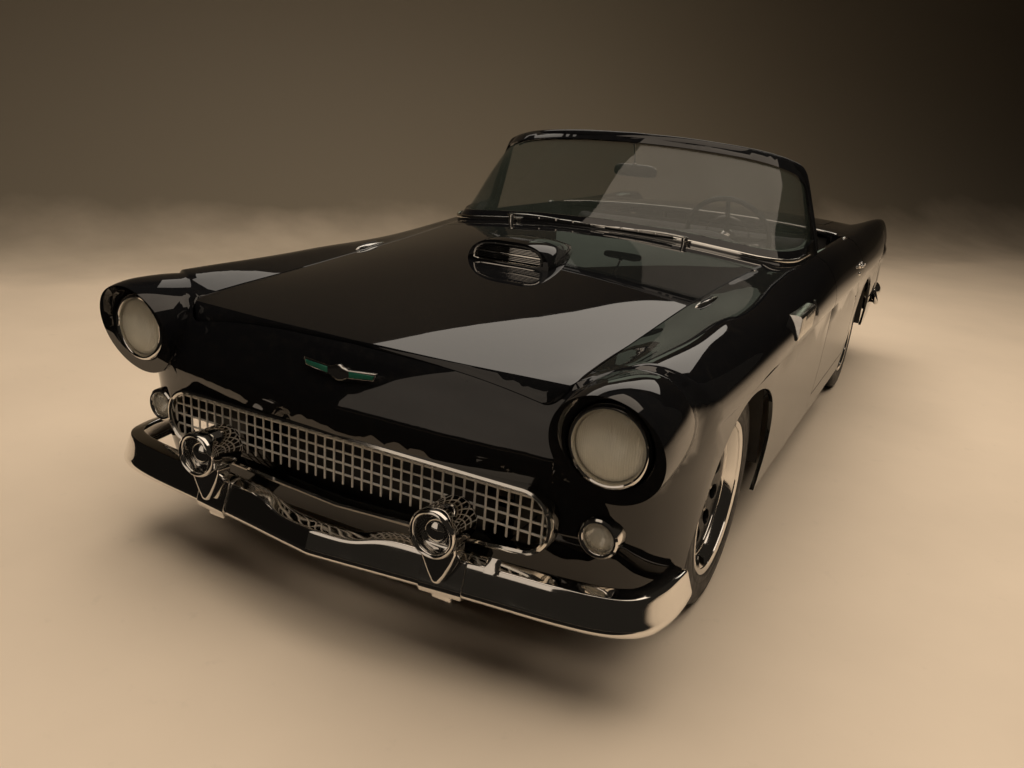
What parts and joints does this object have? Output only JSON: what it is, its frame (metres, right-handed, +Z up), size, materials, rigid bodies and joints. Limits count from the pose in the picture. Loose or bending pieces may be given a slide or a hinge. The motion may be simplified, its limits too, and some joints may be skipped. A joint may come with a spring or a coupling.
{
  "type": "hot rod",
  "caption": "Lowered open two-seat hot rod with wrapped windscreen, scooped front-hinged hood, round headlamps, mesh grille and bullet bumper guards.",
  "frame": {"origin": "on the floor under the middle of the car", "axes": "+Z up, -Y towards the front of the car, +X towards the car's left side"},
  "size_m": [1.792, 4.434, 1.276],
  "materials": {
    "body_paint": "gloss",
    "chrome": "polished",
    "chassis_paint": "satin",
    "under_paint": "satin",
    "engine_iron": "satin",
    "steel": "machined",
    "tyre_rubber": "matte",
    "wheel_alloy": "polished lip, black centre",
    "screen_glass": "tinted",
    "lamp_glass": "fluted",
    "tail_lens": "gloss",
    "vinyl": "satin",
    "dash_plastic": "satin",
    "wheel_rim_plastic": "gloss"
  },
  "bodies": {
    "body": {"nose_panel": "body_paint", "front_fenders": "body_paint", "cowl_panel": "body_paint", "rear_quarters": "body_paint", "deck_panel": "body_paint", "tail_panel": "body_paint", "rockers": "body_paint", "windscreen_frame": "body_paint", "windscreen_glass": "screen_glass", "wipers": "chrome", "mirror": "dash_plastic", "floor_pan": "under_paint", "front_wheel_houses": "under_paint", "trunk_floor": "under_paint", "chassis_frame": "chassis_paint", "engine_block": "engine_iron", "radiator": "chassis_paint", "rear_axle": "chassis_paint", "leaf_springs": "steel", "drive_shaft": "steel", "front_suspension": "chassis_paint", "lamp_rims": "chrome", "front_lamp_lenses": "lamp_glass", "tail_lamp_lenses": "tail_lens", "grille": "chrome", "front_bumper": "chrome", "rear_bumpers": "chrome", "exhaust_pipes": "steel", "dashboard": "dash_plastic", "steering_column": "dash_plastic", "seat_cushion": "vinyl", "seat_back": "vinyl"},
    "hood": {"hood": "body_paint", "hood_scoop_grille": "chrome"},
    "trunk_lid": {"trunk_lid": "body_paint"},
    "door_left": {"door_left": "body_paint", "door_handle_left": "chrome"},
    "door_right": {"door_right": "body_paint", "door_handle_right": "chrome"},
    "steering_wheel": {"steering_wheel": "wheel_rim_plastic"},
    "knuckle_front_left": {"knuckle_left": "steel"},
    "knuckle_front_right": {"knuckle_right": "steel"},
    "wheel_front_left": {"tyre_front_left": "tyre_rubber", "rim_front_left": "wheel_alloy"},
    "wheel_front_right": {"tyre_front_right": "tyre_rubber", "rim_front_right": "wheel_alloy"},
    "wheel_rear_left": {"tyre_rear_left": "tyre_rubber", "rim_rear_left": "wheel_alloy"},
    "wheel_rear_right": {"tyre_rear_right": "tyre_rubber", "rim_rear_right": "wheel_alloy"}
  },
  "joints": [
    {"name": "hood_hinge", "type": "hinge", "parent": "body", "child": "hood", "pos_m": [0, -2.036, 0.757], "axis": [1, 0, 0], "range_deg": [0, 45]},
    {"name": "trunk_hinge", "type": "hinge", "parent": "body", "child": "trunk_lid", "pos_m": [0, 1.12, 0.894], "axis": [1, 0, 0], "range_deg": [0, 65]},
    {"name": "door_left_hinge", "type": "hinge", "parent": "body", "child": "door_left", "pos_m": [0.882, -0.085, 0.58], "axis": [0, 0, -1], "range_deg": [0, 62]},
    {"name": "door_right_hinge", "type": "hinge", "parent": "body", "child": "door_right", "pos_m": [-0.882, -0.085, 0.58], "axis": [0, 0, 1], "range_deg": [0, 62]},
    {"name": "steering", "type": "hinge", "parent": "body", "child": "steering_wheel", "pos_m": [0.348, 0.18, 0.864], "axis": [0, 0.9063, 0.4226], "range_deg": [-480, 480]},
    {"name": "steer_front_left", "type": "hinge", "parent": "body", "child": "knuckle_front_left", "pos_m": [0.612, -1.405, 0.322], "axis": [0, 0, 1], "range_deg": [-30, 30]},
    {"name": "steer_front_right", "type": "hinge", "parent": "body", "child": "knuckle_front_right", "pos_m": [-0.612, -1.405, 0.322], "axis": [0, 0, 1], "range_deg": [-30, 30]},
    {"name": "spin_front_left", "type": "hinge", "parent": "knuckle_front_left", "child": "wheel_front_left", "pos_m": [0.722, -1.405, 0.322], "axis": [1, 0, 0], "continuous": true},
    {"name": "spin_front_right", "type": "hinge", "parent": "knuckle_front_right", "child": "wheel_front_right", "pos_m": [-0.722, -1.405, 0.322], "axis": [1, 0, 0], "continuous": true},
    {"name": "spin_rear_left", "type": "hinge", "parent": "body", "child": "wheel_rear_left", "pos_m": [0.722, 1.186, 0.322], "axis": [1, 0, 0], "continuous": true},
    {"name": "spin_rear_right", "type": "hinge", "parent": "body", "child": "wheel_rear_right", "pos_m": [-0.722, 1.186, 0.322], "axis": [1, 0, 0], "continuous": true}
  ],
  "couplings": [
    {"joint": "steer_front_left", "follows": "steering", "ratio": 0.0625},
    {"joint": "steer_front_right", "follows": "steering", "ratio": 0.0625}
  ]
}
